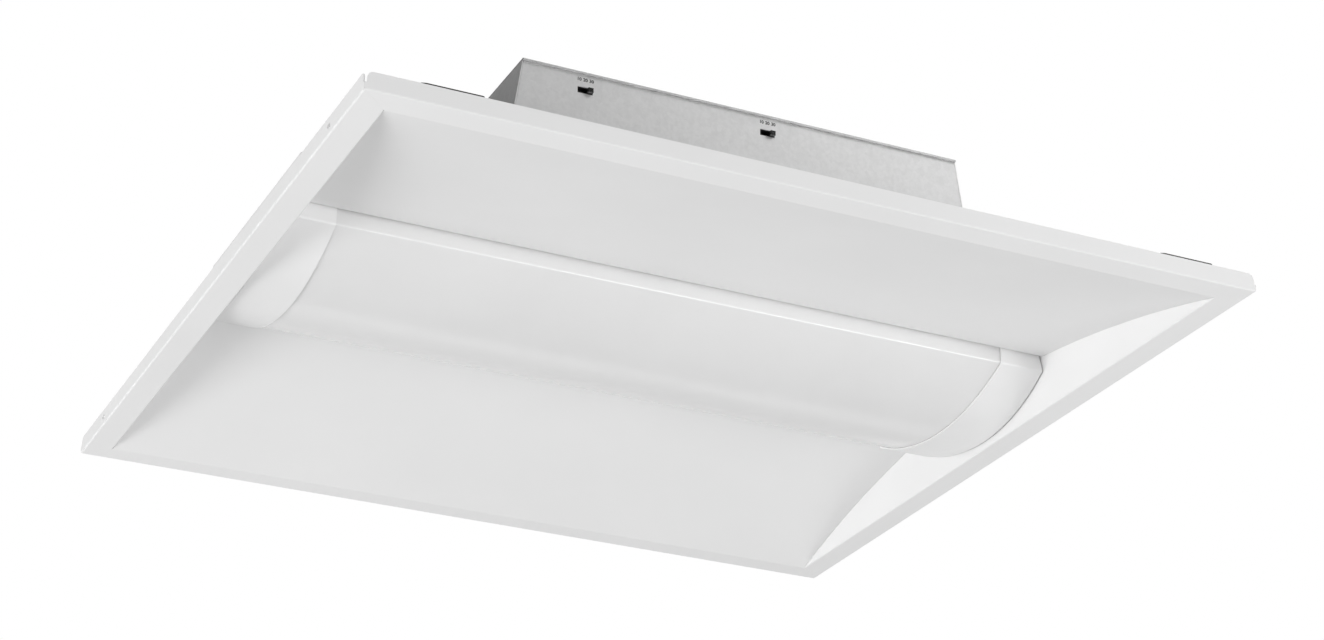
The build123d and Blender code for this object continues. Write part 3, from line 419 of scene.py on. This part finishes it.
# %% The small parts and their finishes
small_parts = {
    # finish: (darkest, lightest, roughness, metallic, pieces)
    "black_plastic": (grey(0.008), grey(0.015), 0.45, 0.0,
                      ("output_switch_body", "colour_switch_body", "wire_bushing")),
    "knob_plastic": (grey(0.02), grey(0.03), 0.25, 0.0,
                     ("output_switch_slider", "colour_switch_slider")),
    # The grid clips are dark steel, painted darker still as shade for their shaded edges over the
    # lip.
    "dark_steel_painted_shade": (grey(0.015), grey(0.03), 0.5, 0.3,
                        ("grid_clip_front_left", "grid_clip_front_right",
                         "grid_clip_rear_left", "grid_clip_rear_right", "clip_rivets")),
    "zinc_plate": ((0.62, 0.62, 0.60), (0.74, 0.73, 0.70), 0.30, 1.0,
                   ("board_screws", "basket_clip_rivets", "housing_screws", "lid_screws",
                    "driver_screws")),
    "spring_steel": ((0.50, 0.51, 0.53), (0.62, 0.63, 0.65), 0.28, 1.0,
                     ("basket_clips_front", "basket_clips_rear")),
    "white_solder_mask": ((0.80, 0.81, 0.79), (0.85, 0.86, 0.84), 0.35, 0.0,
                          ("led_board_front", "led_board_rear")),
    "green_solder_mask": ((0.02, 0.12, 0.04), (0.03, 0.16, 0.05), 0.35, 0.0,
                          ("driver_board",)),
    "led_phosphor": ((0.78, 0.60, 0.12), (0.85, 0.68, 0.18), 0.5, 0.0,
                     ("led_row_front", "led_row_rear")),
    "driver_paint": ((0.70, 0.70, 0.69), (0.76, 0.76, 0.75), 0.4, 0.0, ("driver_case",)),
    "ferrite": ((0.03, 0.03, 0.035), (0.06, 0.06, 0.065), 0.6, 0.0, ("driver_transformer",)),
    "capacitor_sleeve": ((0.015, 0.02, 0.06), (0.02, 0.03, 0.08), 0.3, 0.0,
                         ("driver_capacitors",)),
    "black_insulation": (grey(0.015), grey(0.03), 0.5, 0.0,
                         ("supply_lead_line", "lamp_lead_negative", "jumper_lead_negative")),
    "white_insulation": ((0.72, 0.72, 0.71), (0.78, 0.78, 0.77), 0.5, 0.0,
                         ("supply_lead_neutral",)),
    "red_insulation": ((0.42, 0.02, 0.015), (0.50, 0.03, 0.02), 0.5, 0.0,
                       ("lamp_lead_positive", "jumper_lead_positive")),
    "ground_green": ((0.02, 0.20, 0.06), (0.03, 0.26, 0.08), 0.35, 0.6, ("ground_screw",)),
}

for name, (low, high, roughness, metallic, pieces) in small_parts.items():
    finish(small_finish(name, low, high, roughness, metallic), *pieces)

# %% [markdown]
# ### Numbers over the switches
# Plain numbers are printed over each switch window, one for each of its three settings. They are
# real letters turned into a mesh, so they stay sharp from close by. They are thickened a little,
# because ink spreads on bare zinc, and they lie on the face of the housing's front wall.

# %% Numbers over the switches
ink = small_finish("black_ink", grey(0.01), grey(0.02), roughness=0.6)
settings = ("10", "20", "30")
wall_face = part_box("housing_end_left")[0][1]
number_height = 0.0022
digit_share = 0.7              # height of a digit as a share of the font's size
number_pitch = 0.0043
number_rise = 0.0028
ink_spread = 0.00012
ink_thickness = 0.00002


def printed_numbers(name, middle_x, base_z):
    """Three numbers in a row on the housing's front wall, as thin as ink."""
    joined = bpy.data.meshes.new(name)
    build = bmesh.new()
    upright = Matrix.Rotation(math.radians(90), 4, "X")
    for index, text in enumerate(settings):
        letters = bpy.data.curves.new(f"{name}_{text}", "FONT")
        letters.body = text
        letters.size = number_height / digit_share
        letters.align_x = "CENTER"
        letters.offset = ink_spread
        letters.extrude = ink_thickness
        holder = bpy.data.objects.new(f"{name}_{text}", letters)
        mesh = bpy.data.meshes.new_from_object(holder)
        number_place = Vector((middle_x + (index - 1) * number_pitch, wall_face, base_z))
        mesh.transform(Matrix.Translation(number_place) @ upright)
        build.from_mesh(mesh)
        bpy.data.objects.remove(holder)
        bpy.data.curves.remove(letters)
        bpy.data.meshes.remove(mesh)
    build.to_mesh(joined)
    build.free()
    joined.materials.append(ink)
    piece = bpy.data.objects.new(name, joined)
    bpy.context.scene.collection.objects.link(piece)
    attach(piece, "fixture")


for switch in ("output", "colour"):
    low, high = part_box(f"{switch}_switch_body")
    middle_x = (low[0] + high[0]) / 2
    printed_numbers(f"{switch}_switch_numbers", middle_x, high[2] + number_rise)
    print(switch, "numbers over the window at x", round(middle_x, 4))
